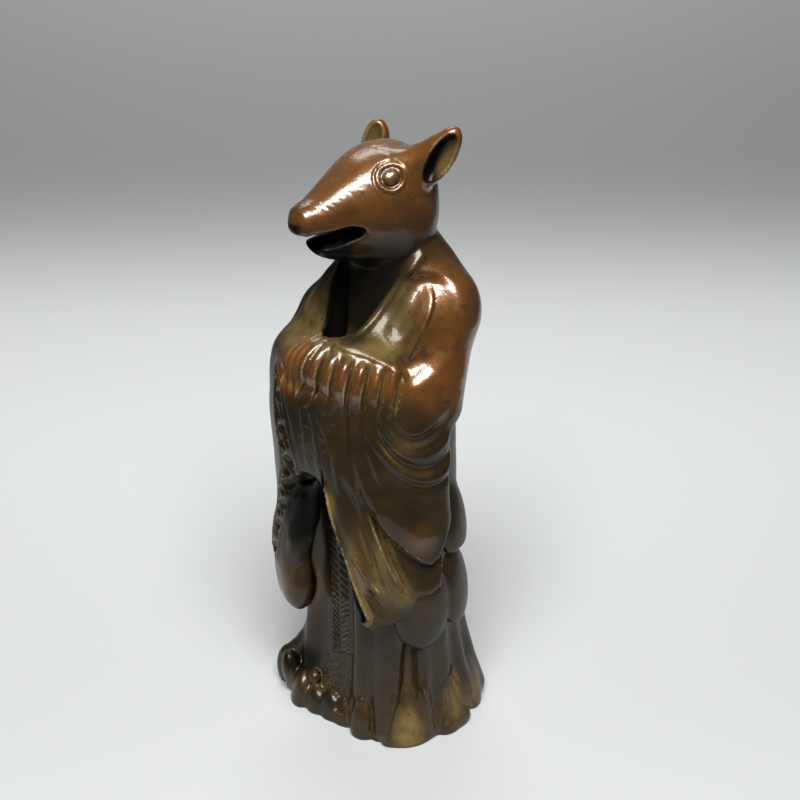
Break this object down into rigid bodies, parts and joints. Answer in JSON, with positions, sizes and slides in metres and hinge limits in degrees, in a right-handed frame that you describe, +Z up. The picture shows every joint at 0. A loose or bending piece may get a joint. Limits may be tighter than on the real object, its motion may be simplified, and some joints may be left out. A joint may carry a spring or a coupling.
{
  "type": "chinese zodiac figure",
  "caption": "Standing cast bronze figure with a rat's head, in a long robe, its hands joined inside wide hanging sleeves.",
  "frame": {"origin": "centre of the bounding box on the ground, under the underside", "axes": "+Z up from the ground to the ears, -Y to the front of the robe, +X to the figure's own left"},
  "size_m": [0.0402, 0.0344, 0.12],
  "materials": {
    "bronze": "dark brown patinated bronze, polished on the high spots"
  },
  "bodies": {
    "root": {"figure": "bronze"}
  },
  "joints": []
}
